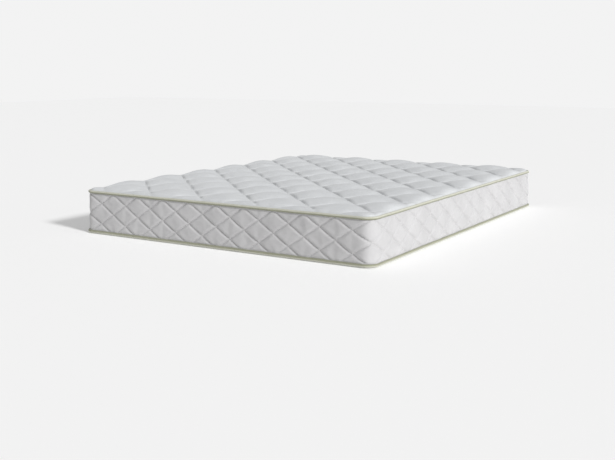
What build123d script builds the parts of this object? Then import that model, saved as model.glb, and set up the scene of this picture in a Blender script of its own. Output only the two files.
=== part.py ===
"""A quilted memory foam mattress, as the pieces that it is sewn and glued up from.

Frame: origin at the middle of the underside, +X across the width, +Y from the foot end to the head end,
+Z up. Millimetres. A "reach" is a distance outward from the border's outer face, in plan; a negative
reach is inside that face.
"""

import os

from build123d import *

os.makedirs("parts", exist_ok=True)

# --- the whole mattress, in plan ---
mattress_width = 1600.0  # over the edge tapes
mattress_length = 2000.0  # over the edge tapes
corner_radius = 50.0  # of the border's outer face
tape_overhang = 5.0  # how far an edge tape stands proud of the border

# --- cloth and wadding ---
ticking = 1.2  # quilted face fabric
backing = 0.6  # non-woven behind the wadding
border_fill = 7.0
top_fill = 21.0
bottom_fill = 8.0
top_shoulder_radius = 24.0  # where the top panel turns down to its tape
bottom_shoulder_radius = 6.0

# --- foam, from the underside up ---
base_foam = 20.0
support_core = 95.0
transition_foam = 30.0
memory_foam = 50.0
edge_rail_width = 70.0
sock = 1.0  # stretch cloth round the whole foam block

# --- edge tapes and their seams ---
border_height = 180.0  # what shows of the border between the two tapes
tape_height = 12.0
tape_inner_reach = -6.0  # where the tape's leg ends on the panel
seam_reach = 3.2  # how far the sewn edges go out into the tape
tape_grip = 0.2  # clearance between the tape and the sewn edges
thread_diameter = 0.9
thread_reach = -3.0  # the row of stitches on the tape's leg
thread_clearance = 0.2

# --- the border strip's two ends, joined on the left side near the head ---
end_gap = 1.0
end_seam_clearance = 0.1
end_seam_from_head = 150.0

# --- comfort zones cut across the transition foam's upper face ---
channel_width = 8.0
channel_depth = 12.0
zone_channels = (4, 5, 3, 6, 3, 5, 4)  # channels in each of the seven zones, foot to head
zone_gap = 60.0  # uncut foam between two zones
zone_margin = 70.0  # uncut foam at each end

# --- clearances between layers that aren't glued or sewn over their whole face ---
cloth_clearance = 0.2
foam_clearance = 0.3

# --- worked out from the above ---
face_width = mattress_width - 2 * tape_overhang
face_length = mattress_length - 2 * tape_overhang

fill_reach = -ticking
border_backing_reach = fill_reach - border_fill
border_inner_reach = border_backing_reach - backing
panel_backing_reach = border_inner_reach
sock_reach = panel_backing_reach - backing - cloth_clearance
foam_reach = sock_reach - sock - foam_clearance

bottom_fill_low = ticking
bottom_backing_low = bottom_fill_low + bottom_fill
bottom_tape_height = bottom_backing_low + backing + cloth_clearance / 2  # centre of the tape
sock_low = bottom_backing_low + backing + cloth_clearance
base_low = sock_low + sock
core_low = base_low + base_foam
transition_low = core_low + support_core
memory_low = transition_low + transition_foam
foam_high = memory_low + memory_foam
sock_high = foam_high + sock
top_backing_low = sock_high + cloth_clearance
top_fill_low = top_backing_low + backing
top_ticking_low = top_fill_low + top_fill
mattress_height = top_ticking_low + ticking
top_tape_height = bottom_tape_height + border_height + tape_height  # centre of the tape

core_reach = foam_reach - edge_rail_width

# a shoulder can't be rounder than its panel is thick inside the face cloth
top_rise = top_ticking_low - top_tape_height - cloth_clearance / 2 - backing
top_shoulder = min(top_shoulder_radius, top_rise)
bottom_shoulder = min(bottom_shoulder_radius, bottom_fill)


def plan(reach):
    """Draws the mattress's outline at a reach, in the sketch that is open."""
    RectangleRounded(face_width + 2 * reach, face_length + 2 * reach, corner_radius + reach)


def slab(reach, low, high, mode=Mode.ADD):
    """Makes a flat layer with the mattress's outline, in the part that is open."""
    with BuildSketch(Plane.XY.offset(low)) as outline:
        plan(reach)
    extrude(outline.sketch, amount=high - low, mode=mode)


def cushion(reach, low, high, shoulder, face, mode=Mode.ADD):
    """Makes a layer whose edge at one face, Axis.Z up or down, is rounded over by the shoulder radius."""
    with BuildPart(mode=Mode.PRIVATE) as layer:
        slab(reach, low, high)
        fillet(layer.faces().sort_by(face)[-1].edges(), shoulder)
    add(layer.part, mode=mode)


def seam_path(reach, height):
    """The closed line that runs round the mattress at a reach and a height."""
    half_width, half_length = face_width / 2 + reach, face_length / 2 + reach
    radius = corner_radius + reach
    straight_x, straight_y = half_width - radius, half_length - radius
    with BuildLine(Plane.XY.offset(height)) as path:
        Line((0, -half_length), (straight_x, -half_length))
        for side_x, side_y, start in ((1, -1, -90), (1, 1, 0), (-1, 1, 90), (-1, -1, 180)):
            CenterArc((side_x * straight_x, side_y * straight_y), radius, start, 90)
        Line((half_width, -straight_y), (half_width, straight_y))
        Line((straight_x, half_length), (-straight_x, half_length))
        Line((-half_width, straight_y), (-half_width, -straight_y))
        Line((-straight_x, -half_length), (0, -half_length))
    return path.wire()


def seam_plane(reach, height):
    """The plane across that line at the middle of the foot end: local X outward, local Y up."""
    middle = (0, -face_length / 2 - reach, height)
    return Plane(origin=middle, x_dir=(0, -1, 0), z_dir=(-1, 0, 0))


def thread_rise():
    """How far the row of stitches lies from the tape's centre height, so that it is half sunk in."""
    half_width = (tape_overhang - tape_inner_reach) / 2
    share = (thread_reach - (tape_overhang + tape_inner_reach) / 2) / half_width
    return tape_height / 2 * (1 - share**2) ** 0.5


def edge_tape(height, up):
    """Makes a folded binding tape round the mattress. up is 1 where its panel is above it, or -1 below."""
    tape_middle = (tape_overhang + tape_inner_reach) / 2
    slot_half = ticking + backing + cloth_clearance / 2 + tape_grip
    inner, deep = 2 * tape_inner_reach, tape_height  # both past the tape, so that the slot opens inward
    with BuildSketch(seam_plane(0, height)) as profile:
        with Locations((tape_middle, 0)):
            Ellipse((tape_overhang - tape_inner_reach) / 2, tape_height / 2)
        with BuildLine():
            Polyline(
                (inner, up * slot_half),
                (seam_reach + tape_grip, up * slot_half),
                (seam_reach + tape_grip, -up * slot_half),
                (tape_grip, -up * slot_half),  # the other leg lies against the border's face
                (tape_grip, -up * deep),
                (inner, -up * deep),
                close=True,
            )
        make_face(mode=Mode.SUBTRACT)
        with Locations((thread_reach, up * thread_rise())):
            Circle(thread_diameter / 2 + thread_clearance, mode=Mode.SUBTRACT)
    sweep(profile.sketch, path=seam_path(0, height))


def tape_stitching(height, up):
    """Makes the row of stitches along a tape's leg, as one closed thread."""
    level = height + up * thread_rise()
    with BuildSketch(seam_plane(thread_reach, level)) as strand:
        Circle(thread_diameter / 2)
    sweep(strand.sketch, path=seam_path(thread_reach, level))


def open_the_strip():
    """Parts the border strip's two ends, through every layer of the piece that is open."""
    with Locations((-face_width / 2, face_length / 2 - end_seam_from_head, mattress_height / 2)):
        Box(4 * border_fill, end_gap, 2 * mattress_height, mode=Mode.SUBTRACT)


def finish(piece, name):
    """Names a finished piece and writes its file."""
    piece.part.label = name
    export_step(piece.part, f"parts/{name}.step")


# ---------------------------------------------------------------- foam core

with BuildPart() as base_foam_layer:
    slab(foam_reach, base_low, core_low)
finish(base_foam_layer, "base_foam_layer")

with BuildPart() as support_core_foam:
    with BuildSketch(Plane.XY.offset(core_low)):
        Rectangle(face_width + 2 * core_reach, face_length + 2 * core_reach)
    extrude(amount=support_core)
finish(support_core_foam, "support_core_foam")

with BuildPart() as transition_foam_layer:
    zone_count = len(zone_channels)
    zone_span = face_length + 2 * core_reach - 2 * zone_margin - (zone_count - 1) * zone_gap
    zone_length = zone_span / zone_count
    first_zone = -face_length / 2 - core_reach + zone_margin + zone_length / 2
    with BuildSketch(Plane.XY.offset(transition_low)):
        Rectangle(face_width + 2 * core_reach, face_length + 2 * core_reach)
    extrude(amount=transition_foam)
    with BuildSketch(Plane.XY.offset(memory_low)):
        for zone, channels in enumerate(zone_channels):
            zone_middle = first_zone + zone * (zone_length + zone_gap)
            with Locations((0, zone_middle)):
                with GridLocations(0, zone_length / channels, 1, channels):
                    Rectangle(face_width + 2 * core_reach, channel_width)
    extrude(amount=-channel_depth, mode=Mode.SUBTRACT)
finish(transition_foam_layer, "transition_foam_layer")

with BuildPart() as memory_foam_layer:
    slab(foam_reach, memory_low, foam_high)
finish(memory_foam_layer, "memory_foam_layer")

for side, name in ((-1, "left_edge_rail"), (1, "right_edge_rail")):
    with BuildPart() as side_rail:
        slab(foam_reach, core_low, memory_low)
        with Locations((-side * edge_rail_width, 0, core_low)):
            Box(
                face_width + 2 * foam_reach,
                mattress_length,
                support_core + transition_foam,
                align=(Align.CENTER, Align.CENTER, Align.MIN),
                mode=Mode.SUBTRACT,
            )
    finish(side_rail, name)

for end, name in ((-1, "foot_edge_rail"), (1, "head_edge_rail")):
    rail_middle = end * (face_length / 2 + foam_reach - edge_rail_width / 2)
    with BuildPart() as end_rail:
        with BuildSketch(Plane.XY.offset(core_low)):
            with Locations((0, rail_middle)):
                Rectangle(face_width + 2 * core_reach, edge_rail_width)
        extrude(amount=support_core + transition_foam)
    finish(end_rail, name)

with BuildPart() as inner_sock:
    slab(sock_reach, sock_low, sock_high)
    slab(foam_reach + foam_clearance, base_low, foam_high, mode=Mode.SUBTRACT)
finish(inner_sock, "inner_sock")

# ---------------------------------------------------------------- top panel

top_seam = top_tape_height + cloth_clearance / 2  # the panel's sewn edge starts here

with BuildPart() as top_panel_backing:
    slab(seam_reach, top_seam, top_seam + backing)
    slab(panel_backing_reach, top_seam, top_fill_low)
    slab(panel_backing_reach - backing, top_seam, top_backing_low, mode=Mode.SUBTRACT)
finish(top_panel_backing, "top_panel_backing")

with BuildPart() as top_panel_ticking:
    slab(seam_reach, top_seam + backing, top_seam + backing + ticking)
    cushion(tape_inner_reach, top_seam + backing, mattress_height, top_shoulder, Axis.Z)
    cushion(
        tape_inner_reach - ticking,
        top_seam + backing,
        top_ticking_low,
        top_shoulder - ticking,
        Axis.Z,
        mode=Mode.SUBTRACT,
    )
finish(top_panel_ticking, "top_panel_ticking")

with BuildPart() as top_panel_fibre_fill:
    cushion(
        tape_inner_reach - ticking,
        top_seam + backing,
        top_ticking_low,
        top_shoulder - ticking,
        Axis.Z,
    )
    slab(panel_backing_reach, top_seam, top_fill_low, mode=Mode.SUBTRACT)
finish(top_panel_fibre_fill, "top_panel_fibre_fill")

# ---------------------------------------------------------------- bottom panel

bottom_seam = bottom_backing_low  # the panel's sewn edge ends here

with BuildPart() as bottom_panel_backing:
    slab(seam_reach, bottom_backing_low, bottom_backing_low + backing)
finish(bottom_panel_backing, "bottom_panel_backing")

with BuildPart() as bottom_panel_ticking:
    slab(seam_reach, bottom_seam - ticking, bottom_seam)
    cushion(tape_inner_reach, 0, bottom_seam, bottom_shoulder, -Axis.Z)
    cushion(
        tape_inner_reach - ticking,
        bottom_fill_low,
        bottom_seam,
        bottom_shoulder - ticking,
        -Axis.Z,
        mode=Mode.SUBTRACT,
    )
finish(bottom_panel_ticking, "bottom_panel_ticking")

with BuildPart() as bottom_panel_fibre_fill:
    cushion(
        tape_inner_reach - ticking,
        bottom_fill_low,
        bottom_seam,
        bottom_shoulder - ticking,
        -Axis.Z,
    )
finish(bottom_panel_fibre_fill, "bottom_panel_fibre_fill")

# ---------------------------------------------------------------- border strip

border_low = bottom_tape_height + cloth_clearance / 2
border_high = top_tape_height - cloth_clearance / 2

with BuildPart() as border_backing:
    slab(seam_reach, border_low, border_high)
    slab(seam_reach, border_low + backing, border_high - backing, mode=Mode.SUBTRACT)
    slab(border_backing_reach, border_low, border_high)
    slab(border_inner_reach, border_low, border_high, mode=Mode.SUBTRACT)
    open_the_strip()
finish(border_backing, "border_backing")

with BuildPart() as border_fibre_fill:
    slab(fill_reach, border_low + backing, border_high - backing)
    slab(border_backing_reach, border_low, border_high, mode=Mode.SUBTRACT)
    open_the_strip()
finish(border_fibre_fill, "border_fibre_fill")

with BuildPart() as border_ticking:
    turned_low = border_low + backing
    turned_high = border_high - backing
    slab(seam_reach, turned_low, turned_high)
    slab(seam_reach, turned_low + ticking, turned_high - ticking, mode=Mode.SUBTRACT)
    slab(0, turned_low, turned_high)
    slab(fill_reach, turned_low, turned_high, mode=Mode.SUBTRACT)
    open_the_strip()
finish(border_ticking, "border_ticking")

with BuildPart() as border_end_seam:
    seam_middle = (-face_width / 2 - border_inner_reach / 2, face_length / 2 - end_seam_from_head)
    with BuildSketch(Plane.XY.offset(border_low + backing + ticking)):
        with Locations(seam_middle):
            Rectangle(-border_inner_reach, end_gap - 2 * end_seam_clearance)
    extrude(amount=border_high - border_low - 2 * (backing + ticking))
finish(border_end_seam, "border_end_seam")

# ---------------------------------------------------------------- edge tapes

with BuildPart() as top_edge_tape:
    edge_tape(top_tape_height, 1)
finish(top_edge_tape, "top_edge_tape")

with BuildPart() as top_tape_stitching:
    tape_stitching(top_tape_height, 1)
finish(top_tape_stitching, "top_tape_stitching")

with BuildPart() as bottom_edge_tape:
    edge_tape(bottom_tape_height, -1)
finish(bottom_edge_tape, "bottom_edge_tape")

with BuildPart() as bottom_tape_stitching:
    tape_stitching(bottom_tape_height, -1)
finish(bottom_tape_stitching, "bottom_tape_stitching")
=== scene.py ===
"""Looks of the quilted memory foam mattress: its quilted cloth, tapes, threads, foams, light and camera.

Metres, in the frame of the CAD model: the foot end is at -Y, and the underside lies at z = 0.
A "reach" is a distance outward from the border's face, in plan, as in the CAD model.
"""

import math

import bmesh
import bpy
import numpy as np
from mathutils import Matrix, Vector


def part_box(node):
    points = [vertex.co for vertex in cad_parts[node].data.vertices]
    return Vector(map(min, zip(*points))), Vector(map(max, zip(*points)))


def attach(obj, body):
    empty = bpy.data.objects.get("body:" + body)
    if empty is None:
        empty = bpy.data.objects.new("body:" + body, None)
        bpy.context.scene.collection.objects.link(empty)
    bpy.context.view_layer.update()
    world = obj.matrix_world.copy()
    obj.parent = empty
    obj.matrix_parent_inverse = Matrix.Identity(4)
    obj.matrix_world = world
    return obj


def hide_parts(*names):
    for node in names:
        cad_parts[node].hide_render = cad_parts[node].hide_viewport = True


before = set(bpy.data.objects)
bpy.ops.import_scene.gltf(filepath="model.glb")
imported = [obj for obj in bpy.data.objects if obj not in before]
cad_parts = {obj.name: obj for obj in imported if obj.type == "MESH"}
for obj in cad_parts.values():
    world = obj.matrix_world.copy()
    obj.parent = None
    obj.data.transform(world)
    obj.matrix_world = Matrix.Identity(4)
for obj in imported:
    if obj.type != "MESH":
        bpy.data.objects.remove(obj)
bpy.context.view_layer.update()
MM = 0.001

# ---------------------------------------------------------------- sizes from the frame
tape_low, tape_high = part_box("top_edge_tape")
low_tape_low, low_tape_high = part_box("bottom_edge_tape")
backing_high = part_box("top_panel_backing")[1].z
low_backing_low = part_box("bottom_panel_backing")[0].z

TAPE_OVERHANG = 5 * MM
HALF_WIDTH = tape_high.x - TAPE_OVERHANG
HALF_LENGTH = tape_high.y - TAPE_OVERHANG
CORNER = 50 * MM
TAPE_HALF = (tape_high.z - tape_low.z) / 2
TOP_TAPE = (tape_high.z + tape_low.z) / 2
LOW_TAPE = (low_tape_high.z + low_tape_low.z) / 2
TAPE_INNER = -6 * MM  # the reach of the tape's inner edge
TAPE_PLUMP = 1.12  # how much the sewn tape bulges beyond its nominal section
SLOT_HALF = 2.0 * MM  # half the gap between the tape's two legs

# ---------------------------------------------------------------- quilting
TOP_PERIOD = 300 * MM  # between valleys of one family, along X or Y
TOP_FALLING = 137 * MM  # x + y of a valley of the falling family
TOP_RISING = 129 * MM  # x - y of a valley of the rising family
TOP_STEP = 12.5 * MM  # between the top's grid lines, a whole share of the period
TOP_VALLEY = 208.9 * MM  # the height of the valleys away from the edge
TOP_STRETCH = 0.06  # how much longer the cloth is than the seams that hold it
BORDER_STRETCH = 0.05
PRESSURE = 8.0  # of the wadding on the cloth
SETTLING = 16  # frames
BORDER_DROP = 98 * MM  # the border diamonds' height
BORDER_WIDE = 154 * MM  # and their width
BORDER_ROW = -46.3 * MM  # a row of crossings, from the top tape's lower edge
BORDER_SHIFT = 82 * MM  # a crossing in that row, from the foot end's middle
BORDER_PUFF = 8.4 * MM  # the puffs' height above the valleys
BORDER_VALLEY = -6.2 * MM  # the reach of the border's sewn valleys
BORDER_INNER = -8.1 * MM  # just outside the border's backing
SEAM_FROM_HEAD = 150 * MM


def fast_noise(x, y, size, seed):
    """Smooth noise from about -1 to 1 on arrays, by bicubic blending of a seeded grid of random values."""
    values = np.random.default_rng(seed).uniform(-1, 1, (256, 256))
    gx, gy = x / size + 100.37, y / size + 100.61
    ix, iy = np.floor(gx).astype(int), np.floor(gy).astype(int)
    fx, fy = gx - ix, gy - iy
    fx, fy = fx * fx * (3 - 2 * fx), fy * fy * (3 - 2 * fy)
    corner = lambda dx, dy: values[(ix + dx) % 256, (iy + dy) % 256]
    low = corner(0, 0) * (1 - fx) + corner(1, 0) * fx
    high = corner(0, 1) * (1 - fx) + corner(1, 1) * fx
    return low * (1 - fy) + high * fy


def off_whole(t):
    """How far each count of valleys is from a whole number, which is where a valley lies."""
    return np.abs(t - np.round(t))


# ---------------------------------------------------------------- the mattress's outline
STRAIGHT_X = HALF_WIDTH - CORNER
STRAIGHT_Y = HALF_LENGTH - CORNER
ARC = CORNER * math.pi / 2
SEAM_Y = HALF_LENGTH - SEAM_FROM_HEAD
# each run of the outline from the border's seam, anticlockwise from above: length, start, heading or centre
RUNS = (
    (SEAM_Y + STRAIGHT_Y, (-HALF_WIDTH, SEAM_Y), -90),
    (ARC, (-STRAIGHT_X, -STRAIGHT_Y), 180),
    (2 * STRAIGHT_X, (-STRAIGHT_X, -HALF_LENGTH), 0),
    (ARC, (STRAIGHT_X, -STRAIGHT_Y), 270),
    (2 * STRAIGHT_Y, (HALF_WIDTH, -STRAIGHT_Y), 90),
    (ARC, (STRAIGHT_X, STRAIGHT_Y), 0),
    (2 * STRAIGHT_X, (STRAIGHT_X, HALF_LENGTH), 180),
    (ARC, (-STRAIGHT_X, STRAIGHT_Y), 90),
    (STRAIGHT_Y - SEAM_Y, (-HALF_WIDTH, STRAIGHT_Y), -90),
)
AROUND = sum(run[0] for run in RUNS)
FOOT_MIDDLE = RUNS[0][0] + ARC + STRAIGHT_X


def around(s):
    """Where the outline is at each distance s from the seam: points, and outward normals."""
    s = np.mod(np.asarray(s, float), AROUND)
    place, out = np.zeros(s.shape + (2,)), np.zeros(s.shape + (2,))
    begin = 0.0
    for index, (length, start, angle) in enumerate(RUNS):
        here = (s >= begin) & (s <= begin + length)
        t = s[here] - begin
        if index % 2 == 0:
            ahead = np.array([math.cos(math.radians(angle)), math.sin(math.radians(angle))])
            place[here] = np.array(start) + t[:, None] * ahead
            out[here] = (ahead[1], -ahead[0])
        else:
            turn = math.radians(angle) + t / CORNER
            out[here] = np.stack([np.cos(turn), np.sin(turn)], -1)
            place[here] = np.array(start) + CORNER * out[here]
        begin += length
    return place, out


def inside(x, y):
    """How far each point is inside the border's face."""
    a = np.maximum(np.abs(x) - STRAIGHT_X, 0)
    b = np.maximum(np.abs(y) - STRAIGHT_Y, 0)
    side = np.minimum(HALF_WIDTH - np.abs(x), HALF_LENGTH - np.abs(y))
    return np.where((a > 0) & (b > 0), CORNER - np.hypot(a, b), side)


def move_out(x, y, distance):
    """The points moved outward, square to the outline, by a distance."""
    a = np.maximum(np.abs(x) - STRAIGHT_X, 0)
    b = np.maximum(np.abs(y) - STRAIGHT_Y, 0)
    on_side = np.where(HALF_WIDTH - np.abs(x) < HALF_LENGTH - np.abs(y), 1.0, 0.0)
    corner = (a > 0) & (b > 0)
    length = np.where(corner, np.hypot(a, b), 1.0)
    nx = np.where(corner, a / length, on_side) * np.sign(x)
    ny = np.where(corner, b / length, 1 - on_side) * np.sign(y)
    return x + nx * distance, y + ny * distance


# ---------------------------------------------------------------- mesh making
def piece(name, points, faces, material, uv=None):
    """Makes a smooth-shaded mesh object. uv holds one pair for each point, in metres of cloth."""
    mesh = bpy.data.meshes.new(name)
    mesh.from_pydata([tuple(p) for p in points], [], faces)
    mesh.polygons.foreach_set("use_smooth", np.ones(len(mesh.polygons), bool))
    if uv is not None:
        loops = np.zeros(len(mesh.loops), np.int32)
        mesh.loops.foreach_get("vertex_index", loops)
        layer = mesh.uv_layers.new(name="cloth")
        layer.data.foreach_set("uv", np.asarray(uv, np.float32)[loops].ravel())
    mesh.materials.append(material)
    mesh.update()
    made = bpy.data.objects.new(name, mesh)
    bpy.context.scene.collection.objects.link(made)
    return made


def grid_faces(rows, columns, along_rising):
    """Triangles of a grid of points, each square cut along the diagonal that follows a valley."""
    i, j = np.meshgrid(np.arange(rows - 1), np.arange(columns - 1), indexing="ij")
    at = lambda a, b: a * columns + b
    p00, p10, p01, p11 = at(i, j), at(i + 1, j), at(i, j + 1), at(i + 1, j + 1)
    rising = along_rising(i, j)
    one = np.where(rising[..., None], np.stack([p00, p10, p11], -1), np.stack([p00, p10, p01], -1))
    two = np.where(rising[..., None], np.stack([p00, p11, p01], -1), np.stack([p10, p11, p01], -1))
    return np.concatenate([one.reshape(-1, 3), two.reshape(-1, 3)]).tolist()


def puff(t, sharpness):
    """A quilted puff's height across its width, 0 at both valleys (t whole) and 1 midway."""
    return np.abs(np.sin(math.pi * t)) ** sharpness


# ---------------------------------------------------------------- materials
def make_material(name, colour, roughness, sheen=0.0):
    """A Principled material, and a shortcut for adding and linking nodes in it."""
    material = bpy.data.materials.new(name)
    material.use_nodes = True
    nodes, links = material.node_tree.nodes, material.node_tree.links
    shader = nodes["Principled BSDF"]
    shader.inputs["Base Color"].default_value = (*colour, 1)
    shader.inputs["Roughness"].default_value = roughness
    shader.inputs["Sheen Weight"].default_value = sheen
    shader.inputs["Sheen Roughness"].default_value = 0.5
    shader.inputs["Specular IOR Level"].default_value = 0.25

    def node(kind, inputs=(), **settings):
        new = nodes.new("ShaderNode" + kind)
        for key, value in settings.items():
            setattr(new, key, value)
        for key, value in dict(inputs).items():
            if isinstance(value, bpy.types.NodeSocket):
                links.new(value, new.inputs[key])
            else:
                new.inputs[key].default_value = value
        return new

    return material, shader, node, links


def blend_colours(node, amount, dark, light):
    """A colour between two, by an amount from 0 to 1."""
    mix = node("Mix", {"Factor": amount}, data_type="RGBA")
    mix.inputs["A"].default_value = (*dark, 1)
    mix.inputs["B"].default_value = (*light, 1)
    return mix.outputs["Result"]


def knit_cloth(name, dark, light, stitch=1.4 * MM, relief=0.35):
    """Double-jersey ticking: rows of knitted loops, a faint jacquard figure, and soft tone changes."""
    material, shader, node, links = make_material(name, light, 0.82, 0.25)
    cloth = node("UVMap", uv_map="cloth").outputs["UV"]
    wales = node("TexWave", {"Vector": cloth, "Scale": 1 / (stitch * 2 * math.pi) * 2, "Distortion": 0.0},
                 wave_type="BANDS", bands_direction="X").outputs["Fac"]
    courses = node("TexWave", {"Vector": cloth, "Scale": 1 / (stitch * 0.8 * 2 * math.pi) * 2,
                               "Distortion": 0.0}, wave_type="BANDS", bands_direction="Y").outputs["Fac"]
    loops = node("Math", {0: wales, 1: courses}, operation="MULTIPLY").outputs[0]
    figure = node("TexVoronoi", {"Vector": cloth, "Scale": 70.0, "Randomness": 0.75},
                  feature="SMOOTH_F1").outputs["Distance"]
    figure = node("MapRange", {"Value": figure, "From Min": 0.25, "From Max": 0.6}).outputs[0]
    loft = node("Math", {0: loops, 1: figure}, operation="ADD").outputs[0]
    bump = node("Bump", {"Height": loft, "Strength": relief, "Distance": 0.4 * MM})
    links.new(bump.outputs["Normal"], shader.inputs["Normal"])
    place = node("TexCoord").outputs["Object"]
    tone = node("TexNoise", {"Vector": place, "Scale": 9.0, "Detail": 4.0}).outputs["Fac"]
    tone = node("Math", {0: tone, 1: node("Math", {0: loops, 1: 0.25}, operation="MULTIPLY").outputs[0]},
                operation="ADD").outputs[0]
    tone = node("MapRange", {"Value": tone, "From Min": 0.35, "From Max": 0.8}).outputs[0]
    links.new(blend_colours(node, tone, dark, light), shader.inputs["Base Color"])
    return material


TAPE_PAINTED_SHADE = (15 * MM, 20 * MM)  # where the tape's painted shade along its edge by the border starts and is full, from its panel side


def tape_cloth(name, dark, light, edge):
    """Binding tape: a fine herringbone weave, and a darker band of painted shade along the edge by the
    border.
    """
    material, shader, node, links = make_material(name, light, 0.7, 0.2)
    cloth = node("UVMap", uv_map="cloth").outputs["UV"]
    ribs = node("TexWave", {"Vector": cloth, "Scale": 330.0, "Distortion": 0.6},
                wave_type="BANDS", bands_direction="DIAGONAL").outputs["Fac"]
    threads = node("TexWave", {"Vector": cloth, "Scale": 520.0, "Distortion": 0.4},
                   wave_type="BANDS", bands_direction="X").outputs["Fac"]
    weave = node("Math", {0: ribs, 1: threads}, operation="MULTIPLY").outputs[0]
    bump = node("Bump", {"Height": weave, "Strength": 0.5, "Distance": 0.35 * MM})
    links.new(bump.outputs["Normal"], shader.inputs["Normal"])
    place = node("TexCoord").outputs["Object"]
    tone = node("TexNoise", {"Vector": place, "Scale": 25.0, "Detail": 3.0}).outputs["Fac"]
    tone = node("Math", {0: node("Math", {0: weave, 1: 0.5}, operation="MULTIPLY").outputs[0], 1: tone},
                operation="ADD").outputs[0]
    tone = node("MapRange", {"Value": tone, "From Min": 0.3, "From Max": 1.0}).outputs[0]
    body = blend_colours(node, tone, dark, light)
    # painted shade: towards its edge by the border, the tape's colour goes over to the darker colour edge
    across = node("SeparateXYZ", {"Vector": cloth}).outputs["Y"]
    start, full = TAPE_PAINTED_SHADE
    painted_shade = node("MapRange", {"Value": across, "From Min": start, "From Max": full}).outputs[0]
    mix = node("Mix", {"Factor": painted_shade}, data_type="RGBA")
    links.new(body, mix.inputs["A"])
    mix.inputs["B"].default_value = (*edge, 1)
    links.new(mix.outputs["Result"], shader.inputs["Base Color"])
    return material


def sewing_thread(name, dark, light):
    """Twisted polyester thread with a soft lustre."""
    material, shader, node, links = make_material(name, light, 0.45, 0.1)
    place = node("TexCoord").outputs["Object"]
    twist = node("TexWave", {"Vector": place, "Scale": 450.0, "Distortion": 1.0},
                 wave_type="BANDS", bands_direction="DIAGONAL").outputs["Fac"]
    bump = node("Bump", {"Height": twist, "Strength": 0.4, "Distance": 0.1 * MM})
    links.new(bump.outputs["Normal"], shader.inputs["Normal"])
    links.new(blend_colours(node, twist, dark, light), shader.inputs["Base Color"])
    return material


def open_foam(name, dark, light, cell=1.2 * MM):
    """Cut open-cell foam: pores of uneven size and a slightly uneven tone."""
    material, shader, node, links = make_material(name, light, 0.9, 0.15)
    place = node("TexCoord").outputs["Object"]
    pores = node("TexVoronoi", {"Vector": place, "Scale": 1 / cell, "Randomness": 1.0}).outputs["Distance"]
    cloud = node("TexNoise", {"Vector": place, "Scale": 14.0, "Detail": 5.0}).outputs["Fac"]
    bump = node("Bump", {"Height": pores, "Strength": 0.6, "Distance": 0.5 * MM})
    links.new(bump.outputs["Normal"], shader.inputs["Normal"])
    tone = node("Math", {0: pores, 1: cloud}, operation="MULTIPLY").outputs[0]
    tone = node("MapRange", {"Value": tone, "From Min": 0.05, "From Max": 0.45}).outputs[0]
    links.new(blend_colours(node, tone, dark, light), shader.inputs["Base Color"])
    return material


def soft_web(name, dark, light, grain):
    """Non-woven web, wadding or thin sock cloth: tangled fibres, finer or coarser by the grain's size."""
    material, shader, node, links = make_material(name, light, 0.88, 0.3)
    place = node("TexCoord").outputs["Object"]
    fibres = node("TexNoise", {"Vector": place, "Scale": 1 / grain, "Detail": 6.0,
                               "Distortion": 2.5}).outputs["Fac"]
    bump = node("Bump", {"Height": fibres, "Strength": 0.5, "Distance": 0.4 * MM})
    links.new(bump.outputs["Normal"], shader.inputs["Normal"])
    tone = node("MapRange", {"Value": fibres, "From Min": 0.3, "From Max": 0.7}).outputs[0]
    links.new(blend_colours(node, tone, dark, light), shader.inputs["Base Color"])
    return material


WHITE_TOP = knit_cloth("white_knit_top", (0.635, 0.65, 0.665), (0.71, 0.725, 0.74))
# the border's knit is the top's white knit made darker: painted shade on the mattress's sides
SHADED_WHITE_BORDER = knit_cloth("white_knit_border_painted_shade", (0.515, 0.51, 0.515), (0.585, 0.58, 0.585))
WHITE_UNDER = knit_cloth("white_knit_underside", (0.59, 0.59, 0.58), (0.66, 0.66, 0.65), stitch=1.8 * MM)
# the last colour is painted shade, for the tape's edge by the border
SAGE_TAPE = tape_cloth("sage_tape", (0.52, 0.52, 0.43), (0.64, 0.64, 0.555), (0.30, 0.305, 0.22))
WHITE_THREAD = sewing_thread("white_thread", (0.68, 0.68, 0.67), (0.82, 0.82, 0.81))
SAGE_THREAD = sewing_thread("sage_thread", (0.40, 0.43, 0.29), (0.56, 0.59, 0.42))


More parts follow.
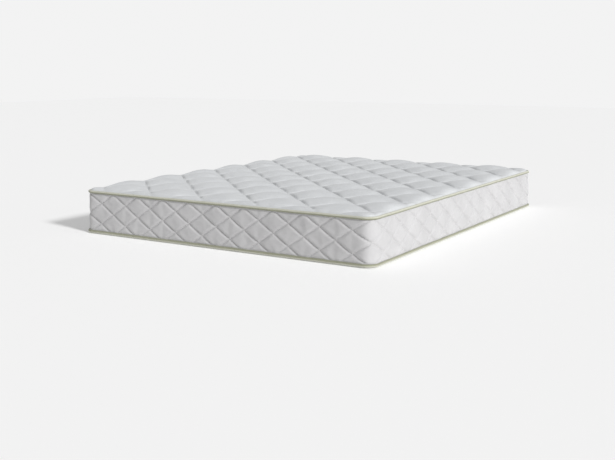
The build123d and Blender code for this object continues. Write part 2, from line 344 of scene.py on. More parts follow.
# ---------------------------------------------------------------- cloth simulation
def blow_up(points, faces, sewn, stretch, pressure, smoothing=2):
    """Simulates a sewn sheet of cloth that its wadding pushes outward (up), and gives its points at rest.

    The sewn points stay where they are. The cloth was cut longer than its seams by the share stretch.
    """
    mesh = bpy.data.meshes.new("sheet")
    mesh.from_pydata(points.tolist(), [], faces)
    sheet = bpy.data.objects.new("sheet", mesh)
    scene = bpy.context.scene
    scene.collection.objects.link(sheet)
    seams = sheet.vertex_groups.new(name="seams")
    seams.add(np.flatnonzero(sewn).tolist(), 1.0, "REPLACE")
    cloth = sheet.modifiers.new("cloth", "CLOTH")
    cloth.point_cache.frame_start, cloth.point_cache.frame_end = 1, SETTLING
    cloth.collision_settings.use_collision = False
    how = cloth.settings
    how.quality = 4
    how.mass = 0.3
    how.air_damping = 2
    how.vertex_group_mass = seams.name
    how.tension_stiffness = how.compression_stiffness = 25
    how.shear_stiffness = 8
    how.bending_stiffness = 0.6
    how.shrink_min = how.shrink_max = -stretch
    how.use_pressure = True
    how.uniform_pressure_force = pressure
    how.effector_weights.gravity = 0
    for step in range(1, SETTLING + 1):
        scene.frame_set(step)
    result = sheet.evaluated_get(bpy.context.evaluated_depsgraph_get()).data
    settled = np.zeros(3 * len(points))
    result.vertices.foreach_get("co", settled)
    settled = settled.reshape(-1, 3)
    ends = np.zeros(2 * len(mesh.edges), np.int64)
    mesh.edges.foreach_get("vertices", ends)
    ends = ends.reshape(-1, 2)
    beside = np.maximum(np.bincount(ends.ravel(), minlength=len(points)), 1)[:, None]
    for _ in range(smoothing):
        around_it = np.zeros_like(settled)
        np.add.at(around_it, ends[:, 0], settled[ends[:, 1]])
        np.add.at(around_it, ends[:, 1], settled[ends[:, 0]])
        settled = np.where(sewn[:, None], settled, (settled + around_it / beside) / 2)
    bpy.data.objects.remove(sheet)
    bpy.data.meshes.remove(mesh)
    scene.frame_set(1)
    return settled


def subdivided(name, points, faces, creases, material, uv):
    """A piece whose mesh is subdivided once, and stays sharp along the creases (pairs of points)."""
    rough = piece(name + "_rough", points, faces, material, uv)
    mesh = rough.data
    sharp = mesh.attributes.new("crease_edge", "FLOAT", "EDGE")
    ends = np.zeros(2 * len(mesh.edges), np.int64)
    mesh.edges.foreach_get("vertices", ends)
    ends = np.sort(ends.reshape(-1, 2), 1)
    wanted = np.sort(np.asarray(creases, np.int64), 1)
    key = lambda pairs: pairs[:, 0] * len(points) + pairs[:, 1]
    sharp.data.foreach_set("value", np.isin(key(ends), key(wanted)).astype(np.float32))
    divide = rough.modifiers.new("subdivision", "SUBSURF")
    divide.levels = divide.render_levels = 1
    divide.boundary_smooth = "PRESERVE_CORNERS"
    mesh = bpy.data.meshes.new_from_object(rough.evaluated_get(bpy.context.evaluated_depsgraph_get()))
    mesh.name = name
    made = bpy.data.objects.new(name, mesh)
    bpy.context.scene.collection.objects.link(made)
    bpy.data.objects.remove(rough)
    return made


def tighten(made, width, lift, to_valley, outward, edge):
    """Steepens the cloth beside its valleys: it is lifted most at that width from a valley, and none on it.

    From each point's place on the cloth, to_valley gives its distance to a valley, outward the way that
    it is lifted, and edge how far it is free to move, from 0 to 1.
    """
    mesh = made.data
    corners, cloth = np.zeros(len(mesh.loops), np.int32), np.zeros(2 * len(mesh.loops), np.float32)
    points = np.zeros(3 * len(mesh.vertices), np.float32)
    mesh.loops.foreach_get("vertex_index", corners)
    mesh.uv_layers["cloth"].data.foreach_get("uv", cloth)
    mesh.vertices.foreach_get("co", points)
    points = points.reshape(-1, 3)
    place = np.zeros((len(points), 2))
    place[corners] = cloth.reshape(-1, 2)
    share = to_valley(*place.T) / width
    rise = lift * share * np.exp(1 - share) * edge(points, *place.T)
    points += outward(*place.T) * rise[:, None]
    mesh.vertices.foreach_set("co", points.ravel())
    mesh.update()


def close_sheet(made, rings):
    """Closes an open sheet below: rings of (step outward from the last one, height), and a flat face."""
    form = bmesh.new()
    form.from_mesh(made.data)
    cloth = form.loops.layers.uv["cloth"]
    rim = [edge for edge in form.edges if edge.is_boundary]
    for step, height in rings:
        grown = bmesh.ops.extrude_edge_only(form, edges=rim)["geom"]
        points = [v for v in grown if isinstance(v, bmesh.types.BMVert)]
        x, y = move_out(np.array([v.co.x for v in points]), np.array([v.co.y for v in points]), step)
        for point, new_x, new_y in zip(points, x, y):
            point.co = (new_x, new_y, height)
        for face in {f for point in points for f in point.link_faces}:
            for loop in face.loops:
                loop[cloth].uv = loop.vert.co.xy
        rim = [e for e in grown if isinstance(e, bmesh.types.BMEdge) and e.is_boundary]
    lid = bmesh.ops.contextual_create(form, geom=rim)["faces"]
    for loop in lid[0].loops:
        loop[cloth].uv = loop.vert.co.xy
    bmesh.ops.recalc_face_normals(form, faces=form.faces)
    form.to_mesh(made.data)
    form.free()


# ---------------------------------------------------------------- top and bottom panels
def axis_lines(origin, half, step, edge_rows):
    """Grid lines every step through the origin, and closer ones edge_rows from both ends."""
    inner = half - edge_rows[-1] - 0.5 * step
    first, last = math.ceil((-inner - origin) / step), math.floor((inner - origin) / step)
    middle = origin + step * np.arange(first, last + 1)
    rows = np.array(edge_rows)
    return np.concatenate([-half + rows, middle, half - rows[::-1]])


def round_corners(x, y, half_x, half_y, radius):
    """Moves a full rectangle's grid points so that its corners become quarter circles."""
    a, b = np.abs(x) - (half_x - radius), np.abs(y) - (half_y - radius)
    corner = (a > 0) & (b > 0)
    scale = np.where(corner, np.maximum(a, b) / np.maximum(np.hypot(a, b), 1e-9), 1.0)
    x = np.where(corner, np.sign(x) * (half_x - radius + a * scale), x)
    y = np.where(corner, np.sign(y) * (half_y - radius + b * scale), y)
    return x, y


def rim_of(rows, columns):
    """The indices of a grid's outer points, in order round it, anticlockwise from above."""
    at = lambda i, j: i * columns + j
    loop = [at(i, 0) for i in range(rows)] + [at(rows - 1, j) for j in range(1, columns)]
    loop += [at(i, columns - 1) for i in range(rows - 2, -1, -1)]
    loop += [at(0, j) for j in range(columns - 2, 0, -1)]
    return loop


PANEL_REACH = 2.5 * MM  # how far the panels' sewn edges go into the tapes
PANEL_HALF_X, PANEL_HALF_Y = HALF_WIDTH + PANEL_REACH, HALF_LENGTH + PANEL_REACH
PANEL_ROWS = [r * MM for r in (0, 8.8, 12, 17, 24)]  # the grid lines nearest the rim, from it
SEWN = 0.001  # how near to a valley counts as on it, in diamonds
EDGE_SEWN = 0.4 * MM  # how near to the tape's inner edge a panel counts as held by it


def panel_grid(falling, rising, period, step):
    """A panel's grid: its points in plan, faces, sewn creases, and each point's place in the diamonds."""
    xs = axis_lines((falling + rising) / 2, PANEL_HALF_X, step, PANEL_ROWS)
    ys = axis_lines((falling - rising) / 2, PANEL_HALF_Y, step, PANEL_ROWS)
    square_x, square_y = np.meshgrid(xs, ys, indexing="ij")
    x, y = round_corners(square_x, square_y, PANEL_HALF_X, PANEL_HALF_Y, CORNER + PANEL_REACH)
    u, v = (x + y - falling) / period, (x - y - rising) / period
    rows, columns = x.shape
    at = np.arange(rows * columns).reshape(rows, columns)
    faces, creases = [], []
    for i in range(rows - 1):
        for j in range(columns - 1):
            a, b, c, d = at[i, j], at[i + 1, j], at[i + 1, j + 1], at[i, j + 1]
            if max(off_whole(v[i, j]), off_whole(v[i + 1, j + 1])) < SEWN:
                faces += [(a, b, c), (a, c, d)]
                creases.append((a, c))
            elif max(off_whole(u[i + 1, j]), off_whole(u[i, j + 1])) < SEWN:
                faces += [(a, b, d), (b, c, d)]
                creases.append((b, d))
            else:
                faces.append((a, b, c, d))
    return x, y, u, v, [tuple(int(k) for k in face) for face in faces], creases


def edge_rise(from_edge, width):
    """The rounded shoulder's rise, from 0 at the tape to 1 at that width inside it."""
    share = np.clip(from_edge / width, 0, 1)
    return np.sqrt(1 - (1 - share) ** 2)


TOP_PUFF = 23 * MM  # the puffs' height above the valleys
TOP_SHARPNESS = 0.62  # the power that a puff's rise from its valleys follows, lower for a steeper rise
TOP_SLACK = 0.3  # how much of the top's shape is the loose cloth's, and not its wadding's
SLACK_FROM, SLACK_FADE = 20 * MM, 100 * MM  # from the tape: where that share starts, and how far it grows
TOP_EDGE = TOP_TAPE + 1.8 * MM  # the height at which the cloth leaves the tape
EDGE_FULLNESS, EDGE_FADE = 3.6 * MM, 70 * MM  # how much higher the valleys lie near the tape
VALLEY_SHOULDER, PUFF_SHOULDER = 28 * MM, 66 * MM  # how far in from the tape each reaches its full height
TOP_CREASE, TOP_CREASE_LIFT = 10 * MM, 2.4 * MM  # the cloth is lifted most that far from a valley, by that
CREASE_FADE = 30 * MM  # from the tape, where that lift is full
TOP_FLANGE = 11.2 * MM  # how far in the panel's sewn edge runs below its face


def top_valley(x, y):
    """The height of the top's sewn valleys, a little higher near the edge, where the wadding is fuller."""
    from_edge = inside(x, y) + TAPE_INNER
    full = TOP_VALLEY + EDGE_FULLNESS * np.exp(-from_edge / EDGE_FADE)
    return TOP_EDGE + (full - TOP_EDGE) * edge_rise(from_edge, VALLEY_SHOULDER)


def top_panel():
    """The quilted top: cloth, wadding and stitched valleys as one closed, crowned form."""
    x, y, u, v, faces, creases = panel_grid(TOP_FALLING, TOP_RISING, TOP_PERIOD, TOP_STEP)
    low = top_valley(x, y)
    from_edge = inside(x, y) + TAPE_INNER
    sewn = (np.minimum(off_whole(u), off_whole(v)) < SEWN) | (from_edge < EDGE_SEWN)
    draws = np.random.default_rng(7)
    stuffed = TOP_PUFF - EDGE_FULLNESS * np.exp(-from_edge / EDGE_FADE)
    stuffed *= puff(u, TOP_SHARPNESS) * puff(v, TOP_SHARPNESS) * edge_rise(from_edge, PUFF_SHOULDER)
    points = np.stack([x, y, low + stuffed], -1).reshape(-1, 3)
    # a slightly uneven start, which lets the cloth settle in its own way
    start = low + np.where(sewn, 0, 3 * MM + MM * draws.uniform(-1, 1, x.shape))
    flat = np.stack([x, y, start], -1).reshape(-1, 3)
    blown = blow_up(flat, faces, sewn.ravel(), TOP_STRETCH, PRESSURE)
    share = TOP_SLACK * np.clip((from_edge - SLACK_FROM) / SLACK_FADE, 0, 1).reshape(-1, 1)
    points[:, :2] = blown[:, :2]
    points[:, 2:] += share * (blown[:, 2:] - points[:, 2:])
    made = subdivided("quilted_top_panel", points, faces, creases, WHITE_TOP, points[:, :2])
    between = TOP_PERIOD / math.sqrt(2)
    tighten(made, TOP_CREASE, TOP_CREASE_LIFT,
            lambda x, y: np.minimum(off_whole((x + y - TOP_FALLING) / TOP_PERIOD),
                                    off_whole((x - y - TOP_RISING) / TOP_PERIOD)) * between,
            lambda x, y: np.tile((0, 0, 1), (len(x), 1)),
            lambda points, x, y: np.clip((inside(x, y) + TAPE_INNER) / CREASE_FADE, 0, 1))
    flange_low, inner_low = TOP_TAPE + 0.8 * MM, backing_high + 0.1 * MM
    close_sheet(made, ((0, flange_low), (-TOP_FLANGE, flange_low), (-0.4 * MM, inner_low)))
    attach(made, "root")
    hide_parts("top_panel_ticking", "top_panel_fibre_fill")
    return made


UNDER_STEP = 12 * MM
UNDER_DEPTH = 3.5 * MM  # of its valleys, above what the mattress lies on
UNDER_PRESS = 1.7  # the puffs' swell before they are pressed flat, as a multiple of their depth
UNDER_SHARPNESS = 0.6
UNDER_ROWS = [r * MM for r in (0, 4.5, 7.9, 8.8, 10, 12, 14.5, 18, 22)]
UNDER_SHOULDER = 16 * MM


def under_height(x, y):
    """The underside's height: puffs pressed flat where the mattress lies, with shallow valleys between."""
    u, v = (x + y) / TOP_PERIOD, (x - y) / TOP_PERIOD
    swell = np.minimum(puff(u, UNDER_SHARPNESS) * puff(v, UNDER_SHARPNESS) * UNDER_PRESS, 1.0)
    full = UNDER_DEPTH * (1 - swell)
    from_edge = inside(x, y) + TAPE_INNER
    at_tape = LOW_TAPE - 1.8 * MM
    free = at_tape + (full - at_tape) * edge_rise(from_edge, UNDER_SHOULDER)
    return np.where(from_edge <= EDGE_SEWN, at_tape, free)


def bottom_panel():
    """The quilted underside, flat where it rests."""
    xs = axis_lines(0, PANEL_HALF_X, UNDER_STEP, UNDER_ROWS)
    ys = axis_lines(0, PANEL_HALF_Y, UNDER_STEP, UNDER_ROWS)
    x, y = np.meshgrid(xs, ys, indexing="ij")
    x, y = round_corners(x, y, PANEL_HALF_X, PANEL_HALF_Y, CORNER + PANEL_REACH)
    rows, columns = x.shape
    points = np.stack([x, y, under_height(x, y)], -1).reshape(-1, 3)

    def along_rising(i, j):
        on_valley = (xs[i] + xs[i + 1] - ys[j] - ys[j + 1]) / 2 / TOP_PERIOD
        return np.abs(on_valley - np.round(on_valley)) * TOP_PERIOD < UNDER_STEP / 3

    faces = [tuple(reversed(f)) for f in grid_faces(rows, columns, along_rising)]
    rim = rim_of(rows, columns)
    start, n = len(points), len(rim)
    lid = np.stack([points[rim, 0], points[rim, 1], np.full(n, low_backing_low - 0.1 * MM)], -1)
    after = list(range(start, start + n))
    faces += [(after[k], rim[k], rim[(k + 1) % n], after[(k + 1) % n]) for k in range(n)]
    faces.append(tuple(after))
    points = np.concatenate([points, lid])
    made = piece("quilted_underside", points, faces, WHITE_UNDER, points[:, :2])
    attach(made, "root")
    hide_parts("bottom_panel_ticking", "bottom_panel_fibre_fill")
    return made


# ---------------------------------------------------------------- border strip
BORDER_HIGH = TOP_TAPE - TAPE_HALF  # where the border goes in under the top tape
BORDER_LOW = LOW_TAPE + TAPE_HALF
BORDER_DIVISIONS = 12  # grid squares across one diamond, and down it
END_GAP = 0.35 * MM  # from the strip's end to the seam's line
END_REACH, RIM_REACH = -3.2 * MM, -1.5 * MM  # of the strip's ends, and of its edges under the tapes
TAPED = 0.6 * MM  # how far the quilted face goes in under each tape
BORDER_SHARPNESS = 0.35
BORDER_SLACK = 0.35  # how much of the border's shape is the loose cloth's
BORDER_CREASE, BORDER_CREASE_LIFT = 7 * MM, 3.1 * MM  # as for the top's valleys
RIM_FADE = 6 * MM  # from the tapes, where that lift is full
CORNER_SLACK = 29 * MM  # how much the strip stretches round each corner
CORNER_REACH = 60 * MM  # how far past the corner that stretch runs on


def cloth_distance(s):
    """The distance along the border's unstretched cloth at each distance s round the outline."""
    knots, cloth = [0.0], [0.0]
    begin = 0.0
    for index, (length, _, _) in enumerate(RUNS):
        if index % 2:
            knots += [begin - CORNER_REACH, begin + length + CORNER_REACH]
            cloth += [cloth[-1] + knots[-2] - knots[-3], cloth[-1] + knots[-1] - knots[-3] - CORNER_SLACK]
        begin += length
    knots.append(AROUND)
    cloth.append(cloth[-1] + knots[-1] - knots[-2])
    return np.interp(s, knots, cloth)


def outline_distance(cloth):
    """The distance round the outline of a distance along the border's cloth."""
    samples = np.linspace(0, AROUND, 7001)
    return np.interp(cloth, cloth_distance(samples), samples)


def border_lines(first, last, origin, step, margin):
    """Grid lines every step through the origin, and one at each end."""
    start, stop = math.ceil((first + margin - origin) / step), math.floor((last - margin - origin) / step)
    return np.concatenate([[first], origin + step * np.arange(start, stop + 1), [last]])


def border_place(s, height, reach):
    """Points at a distance s round the outline, a height and a reach."""
    place, out = around(s)
    return np.stack([place[..., 0] + out[..., 0] * reach, place[..., 1] + out[..., 1] * reach, height], -1)


def border_diamonds(s, height):
    """A place on the border as counts of valleys: of the falling family, and of the rising one."""
    across = (cloth_distance(s) - cloth_distance(FOOT_MIDDLE) - BORDER_SHIFT) / BORDER_WIDE
    down = (height - BORDER_HIGH - BORDER_ROW) / BORDER_DROP
    return across + down, across - down


def border_strip():
    """The quilted strip round the sides, as a closed form whose two ends meet at the seam."""
    step_s, step_z = BORDER_WIDE / BORDER_DIVISIONS, BORDER_DROP / BORDER_DIVISIONS
    origin = cloth_distance(FOOT_MIDDLE) + BORDER_SHIFT
    lines = border_lines(END_GAP, cloth_distance(AROUND - END_GAP), origin, step_s, 4 * MM)
    lines = outline_distance(lines)
    levels = border_lines(BORDER_LOW - TAPED, BORDER_HIGH + TAPED, BORDER_HIGH + BORDER_ROW, step_z, 3 * MM)
    s, height = np.meshgrid(lines, levels, indexing="ij")
    falling, rising = border_diamonds(s, height)
    rows, columns = s.shape
    at = np.arange(rows * columns).reshape(rows, columns)
    wall, creases = [], []
    for i in range(rows - 1):
        for j in range(columns - 1):
            a, b, c, d = (int(k) for k in (at[i, j], at[i + 1, j], at[i + 1, j + 1], at[i, j + 1]))
            if max(off_whole(rising[i, j]), off_whole(rising[i + 1, j + 1])) < SEWN:
                wall += [(a, b, c), (a, c, d)]
                creases.append((a, c))
            elif max(off_whole(falling[i + 1, j]), off_whole(falling[i, j + 1])) < SEWN:
                wall += [(a, b, d), (b, c, d)]
                creases.append((b, d))
            else:
                wall.append((a, b, c, d))
    held = np.zeros((rows, columns), bool)
    held[[0, -1]] = held[:, [0, -1]] = True
    sewn = held | (np.minimum(off_whole(falling), off_whole(rising)) < SEWN)
    stuffed = BORDER_PUFF * puff(falling, BORDER_SHARPNESS) * puff(rising, BORDER_SHARPNESS) * ~held
    draws = np.random.default_rng(17)
    start = np.where(sewn, 0, MM + 0.4 * MM * draws.uniform(-1, 1, s.shape))
    flat = np.stack([s, height, start], -1).reshape(-1, 3)
    puffed = blow_up(flat, wall, sewn.ravel(), BORDER_STRETCH, PRESSURE).reshape(rows, columns, 3)
    loose = BORDER_PUFF * np.tanh(1.6 * puffed[..., 2] / BORDER_PUFF)
    puffed[..., 2] = stuffed + BORDER_SLACK * (loose - stuffed)
    base = np.full(s.shape, BORDER_VALLEY)
    base[[0, -1]] = END_REACH
    base[:, [0, -1]] = RIM_REACH
    front = border_place(puffed[..., 0], puffed[..., 1], base + puffed[..., 2])
    # the closed profile goes on from the quilted face: out into the tape, and down the inside
    high, low = TOP_TAPE - 1.0 * MM, LOW_TAPE + 1.0 * MM
    lip, flange = 1.2 * MM, 2.8 * MM
    profile = ((0, high - lip), (flange, high - lip), (flange, high), (BORDER_INNER, high),
               (BORDER_INNER, low), (flange, low), (flange, low + lip), (0, low + lip))
    back = [border_place(lines, np.full(rows, z), r)[:, None] for r, z in profile]
    points = np.concatenate([front] + back, 1)
    around_it = columns + len(profile)
    at = lambda i, j: i * around_it + j % around_it
    renumber = lambda k: at(k // columns, k % columns)
    faces = [tuple(renumber(k) for k in face) for face in wall]
    creases = [(renumber(a), renumber(b)) for a, b in creases]
    for i in range(rows - 1):
        for j in range(columns - 1, around_it):
            faces.append((at(i, j), at(i + 1, j), at(i + 1, j + 1), at(i, j + 1)))
            creases.append((at(i, j), at(i + 1, j)))
        creases.append((at(i, 0), at(i + 1, 0)))
    faces += [tuple(range(around_it)), tuple(reversed(range(at(rows - 1, 0), at(rows - 1, 0) + around_it)))]
    creases += [(at(i, j), at(i, j + 1)) for i in (0, rows - 1) for j in range(around_it)]
    uv = np.concatenate([puffed[..., :2]] + [np.stack([lines, np.full(rows, z)], -1)[:, None]
                                             for _, z in profile], 1)
    made = subdivided("quilted_border", points.reshape(-1, 3), faces, creases, SHADED_WHITE_BORDER,
                      uv.reshape(-1, 2))
    square = BORDER_WIDE * BORDER_DROP / math.hypot(BORDER_WIDE, BORDER_DROP)
    tighten(made, BORDER_CREASE, BORDER_CREASE_LIFT,
            lambda s, z: np.minimum(*(off_whole(t) for t in border_diamonds(s, z))) * square,
            lambda s, z: np.concatenate([around(s)[1], np.zeros((len(s), 1))], 1),
            lambda points, s, z: (np.clip(np.minimum(z - BORDER_LOW, BORDER_HIGH - z) / RIM_FADE, 0, 1)
                                  * (inside(points[:, 0], points[:, 1]) < 0.5 * MM - BORDER_VALLEY)))
    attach(made, "root")
    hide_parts("border_ticking", "border_fibre_fill")
    return made


# ---------------------------------------------------------------- edge tapes
LOWER_LEG, SLOT_FLOOR = 0.2 * MM, 3.4 * MM  # the reach where the lower leg ends, and of the slot's floor
TAPE_POINTS = 22  # along the rounded back of its section
TAPE_STEP = 6 * MM
TAPE_WAVE, TAPE_LEAN = 0.5 * MM, 0.25 * MM  # how unevenly it is sewn, up and down, and in and out


def tape_profile(up):
    """The tape's section as (reach, height) pairs: a rounded back, and a slot that holds the sewn edges."""
    half_width = (TAPE_OVERHANG - TAPE_INNER) / 2 * TAPE_PLUMP
    half_height = TAPE_HALF * TAPE_PLUMP
    middle = (TAPE_OVERHANG + TAPE_INNER) / 2
    start = math.acos(-math.sqrt(1 - (SLOT_HALF / half_height) ** 2))
    stop = -math.acos((LOWER_LEG - middle) / half_width)
    outer = [(middle + half_width * math.cos(a), up * half_height * math.sin(a))
             for a in np.linspace(start, stop, TAPE_POINTS)]
    slot = [(LOWER_LEG, -up * SLOT_HALF), (SLOT_FLOOR, -up * SLOT_HALF), (SLOT_FLOOR, up * SLOT_HALF)]
    return outer + slot


def tape_wave(s):
    """How much the tape runs above or below its level at each distance s."""
    return TAPE_WAVE * fast_noise(s, s * 0, 60 * MM, 21)


def edge_tape(name, height, up, node):
    """A binding tape folded round the sewn edges, slightly wavy as sewn tape is."""
    count = int(AROUND / TAPE_STEP)
    s = np.arange(count) * AROUND / count
    section = np.array(tape_profile(up))
    place, out = around(s)
    wave = tape_wave(s)
    lean = TAPE_LEAN * fast_noise(s, s * 0, 35 * MM, 22)
    reach = section[None, :, 0] + lean[:, None]
    rise = height + section[None, :, 1] + wave[:, None]
    points = np.stack([place[:, None, 0] + out[:, None, 0] * reach,
                       place[:, None, 1] + out[:, None, 1] * reach, rise], -1)
    n = len(section)
    faces = []
    for i in range(count):
        k = (i + 1) % count
        for j in range(n):
            m = (j + 1) % n
            quad = (i * n + j, k * n + j, k * n + m, i * n + m)
            faces.append(quad[::-1] if up > 0 else quad)
    length = np.concatenate([[0], np.cumsum(np.hypot(*np.diff(section, axis=0).T))])
    uv = np.stack([np.repeat(s[:, None], n, 1), np.repeat(length[None], count, 0)], -1).reshape(-1, 2)
    made = piece(name, points.reshape(-1, 3), faces, SAGE_TAPE, uv)
    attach(made, "root")
    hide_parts(node)
    return made


# ---------------------------------------------------------------- stitches
STITCH_TAPER = 0.22  # the share of a stitch's length, at each end, over which it thins to a point


def stitches(name, ends, material, nodes=(), thick=1.0 * MM):
    """A row of stitches, one plump strand for each (start, stop, outward) in ends."""
    start, stop, out = (np.asarray([e[k] for e in ends], float) for k in range(3))
    ahead = stop - start
    ahead /= np.linalg.norm(ahead, axis=1)[:, None]
    side = np.cross(ahead, out)
    side /= np.linalg.norm(side, axis=1)[:, None]
    up = np.cross(side, ahead)
    radius = thick / 2
    ring = lambda share, r: [start + (stop - start) * share + side * (r * a) + up * (r * b)
                             for a, b in ((1, 0), (0, 1), (-1, 0), (0, -1))]
    layers = [[start - up * radius], ring(STITCH_TAPER, radius), ring(1 - STITCH_TAPER, radius),
              [stop - up * radius]]
    points = np.stack([p for layer in layers for p in layer], 1)
    unit = [(0, 1, 2), (0, 2, 3), (0, 3, 4), (0, 4, 1), (9, 6, 5), (9, 7, 6), (9, 8, 7), (9, 5, 8)]
    unit += [(5, 6, 2, 1), (6, 7, 3, 2), (7, 8, 4, 3), (8, 5, 1, 4)]
    faces = [tuple(k * 10 + v for v in f) for k in range(len(points)) for f in unit]
    made = piece(name, points.reshape(-1, 3), faces, material)
    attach(made, "root")
    if nodes:
        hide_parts(*nodes)
    return made


QUILT_PITCH, QUILT_STITCH = 6.5 * MM, 4.6 * MM
QUILT_MARGIN = 9 * MM  # how far inside the border's face a panel's quilting stops
SEAM_MARGIN = 5 * MM  # how far from the end seam the border's quilting stops


def panel_quilting(name, falling, rising, level, up):
    """The quilting thread along a panel's valleys: level gives the valleys' height."""
    reach = HALF_WIDTH + HALF_LENGTH
    places, steps = [], []
    for sign, offset in ((1, falling), (-1, rising)):
        for count in range(-20, 21):
            total = offset + count * TOP_PERIOD
            along = np.arange(-reach, reach, QUILT_PITCH) / math.sqrt(2)
            x, y = total / 2 + along, sign * (total / 2 - along)
            keep = (np.abs(x) < HALF_WIDTH) & (np.abs(y) < HALF_LENGTH)
            keep &= inside(x, y) > QUILT_MARGIN
            places.append(np.stack([x, y], -1)[keep])
            steps.append(np.tile(np.array([1, -sign]) * QUILT_STITCH / 2 / math.sqrt(2), (keep.sum(), 1)))
    places, steps = np.concatenate(places), np.concatenate(steps)
    ends = []
    for plan in (places - steps, places + steps):
        height = level(plan[:, 0], plan[:, 1]) + up * 0.1 * MM
        ends.append(np.concatenate([plan, height[:, None]], 1))
    return stitches(name, [(a, b, (0, 0, up)) for a, b in zip(*ends)], WHITE_THREAD)


def border_quilting():
    """The quilting thread along the border's valleys."""
    long = math.hypot(BORDER_WIDE, BORDER_DROP)
    drop = BORDER_DROP / long
    heights = np.arange(BORDER_LOW + 4 * MM, BORDER_HIGH - 3 * MM, QUILT_PITCH * drop)
    turns = (heights - BORDER_HIGH - BORDER_ROW) / BORDER_DROP
    centre = cloth_distance(FOOT_MIDDLE) + BORDER_SHIFT
    ends = ([], [])
    for sign in (-1, 1):
        for count in range(-60, 61):
            s = outline_distance(centre + BORDER_WIDE * (count + sign * turns))
            keep = (s > SEAM_MARGIN) & (s < AROUND - SEAM_MARGIN)
            for end, half in zip(ends, (-QUILT_STITCH / 2, QUILT_STITCH / 2)):
                shift = sign * half * BORDER_WIDE / long
                end.append(border_place(s[keep] + shift, heights[keep] + half * drop,
                                        BORDER_VALLEY + 0.3 * MM))
    starts, stops = (np.concatenate(end) for end in ends)
    rows = [(a, b, (a[0] / HALF_WIDTH if abs(a[0]) > STRAIGHT_X else 0,
                    a[1] / HALF_LENGTH if abs(a[1]) > STRAIGHT_Y else 0, 0)) for a, b in zip(starts, stops)]
    return stitches("border_quilting_thread", rows, WHITE_THREAD)


def tape_row(name, height, up, node):
    """The row of stitches along a tape's upper or lower leg."""
    pitch, length, reach = 5 * MM, 3.6 * MM, -3.0 * MM
    half_width = (TAPE_OVERHANG - TAPE_INNER) / 2
    share = (reach - (TAPE_OVERHANG + TAPE_INNER) / 2) / half_width
    level = height + up * (TAPE_HALF * TAPE_PLUMP * math.sqrt(1 - share ** 2) + 0.1 * MM)
    count = int(AROUND / pitch)
    middle = np.arange(count) * AROUND / count
    ends = []
    for shift in (-length / 2, length / 2):
        place, out = around(middle + shift)
        wave = tape_wave(np.mod(middle + shift, AROUND))
        ends.append(np.concatenate([place + out * reach, (level + wave)[:, None]], 1))
    _, out = around(middle)
    rows = [(a, b, (-0.4 * o[0], -0.4 * o[1], up)) for a, b, o in zip(*ends, out)]
    return stitches(name, rows, SAGE_THREAD, (node,), thick=0.8 * MM)


# ---------------------------------------------------------------- what stays from the CAD model
def finish_inner_pieces():
    """Gives each carried-over piece its own cloth or foam."""
    foam = {
        "memory_foam_layer": open_foam("memory_foam", (0.78, 0.70, 0.50), (0.90, 0.84, 0.66), 0.8 * MM),
        "transition_foam_layer": open_foam("transition_foam", (0.52, 0.64, 0.72), (0.68, 0.79, 0.86)),
        "support_core_foam": open_foam("core_foam", (0.78, 0.78, 0.75), (0.90, 0.90, 0.87), 1.6 * MM),
    }
    rail = open_foam("rail_foam", (0.50, 0.52, 0.54), (0.64, 0.66, 0.68), 1.0 * MM)
    backing = soft_web("non_woven", (0.76, 0.76, 0.76), (0.86, 0.86, 0.86), 3 * MM)
    sock = soft_web("sock_cloth", (0.74, 0.73, 0.70), (0.84, 0.83, 0.80), 1.5 * MM)
    finishes = dict(foam, base_foam_layer=foam["support_core_foam"], inner_sock=sock,
                    border_end_seam=WHITE_THREAD)
    finishes.update({f"{place}_edge_rail": rail for place in ("left", "right", "foot", "head")})
    finishes.update({f"{place}_backing": backing for place in ("top_panel", "border", "bottom_panel")})
    for node, material in finishes.items():
        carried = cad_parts[node]
        carried.data.materials.clear()
        carried.data.materials.append(material)


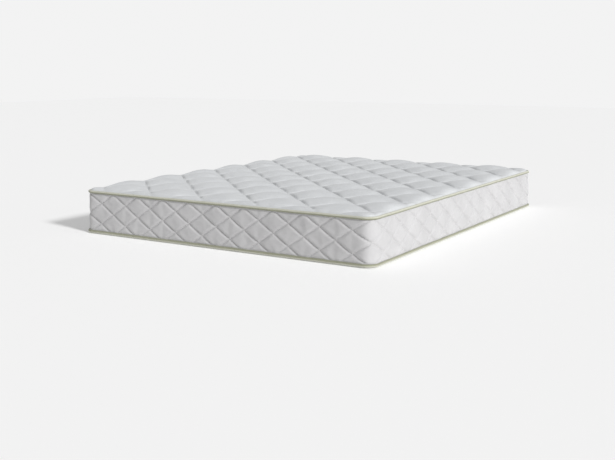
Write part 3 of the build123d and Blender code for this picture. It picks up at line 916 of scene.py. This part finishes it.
# ---------------------------------------------------------------- stage, light and camera
def set_stage():
    """A pale floor, a soft key light from the right, and an even white surround."""
    material, shader, _, _ = make_material("floor", (0.97, 0.97, 0.97), 0.9)
    shader.inputs["Emission Color"].default_value = (1, 1, 1, 1)
    shader.inputs["Emission Strength"].default_value = 0.13
    size, level = 14.0, -0.4 * MM
    corners = [(-size, -size, level), (size, -size, level), (size, size, level), (-size, size, level)]
    piece("floor", corners, [(0, 1, 2, 3)], material)

    key = bpy.data.objects.new("key", bpy.data.lights.new("key", "SUN"))
    key.data.energy = 2.75
    key.data.angle = math.radians(9)
    toward_key = Vector((0.82, -0.22, 0.44))
    key.rotation_euler = toward_key.to_track_quat("Z", "Y").to_euler()
    bpy.context.scene.collection.objects.link(key)

    world = bpy.data.worlds.new("surround")
    bpy.context.scene.world = world
    world.use_nodes = True
    nodes, links = world.node_tree.nodes, world.node_tree.links
    lighting, seen = nodes["Background"], nodes.new("ShaderNodeBackground")
    lighting.inputs["Color"].default_value = (1, 1, 1, 1)
    lighting.inputs["Strength"].default_value = 0.385
    seen.inputs["Color"].default_value = (0.895, 0.895, 0.895, 1)
    rays, mix = nodes.new("ShaderNodeLightPath"), nodes.new("ShaderNodeMixShader")
    links.new(rays.outputs["Is Camera Ray"], mix.inputs[0])
    links.new(lighting.outputs[0], mix.inputs[1])
    links.new(seen.outputs[0], mix.inputs[2])
    links.new(mix.outputs[0], nodes["World Output"].inputs["Surface"])
    bpy.context.scene.view_settings.view_transform = "Standard"


def set_camera():
    """A level camera off the foot end's right corner, its frame shifted down to the mattress."""
    data = bpy.data.cameras.new("camera")
    camera = bpy.data.objects.new("camera", data)
    data.sensor_width = 36.0
    data.lens = 54.15
    data.shift_y = -0.2674
    camera.location = (2.522, -4.297, 0.820)
    camera.rotation_euler = (math.radians(90), 0, math.radians(31.62))
    bpy.context.scene.collection.objects.link(camera)
    bpy.context.scene.camera = camera


set_camera()
set_stage()
finish_inner_pieces()
top_panel()
bottom_panel()
border_strip()
edge_tape("top_binding_tape", TOP_TAPE, 1, "top_edge_tape")
edge_tape("bottom_binding_tape", LOW_TAPE, -1, "bottom_edge_tape")
panel_quilting("top_quilting_thread", TOP_FALLING, TOP_RISING, top_valley, 1)
border_quilting()
tape_row("top_tape_stitches", TOP_TAPE, 1, "top_tape_stitching")
tape_row("bottom_tape_stitches", LOW_TAPE, -1, "bottom_tape_stitching")
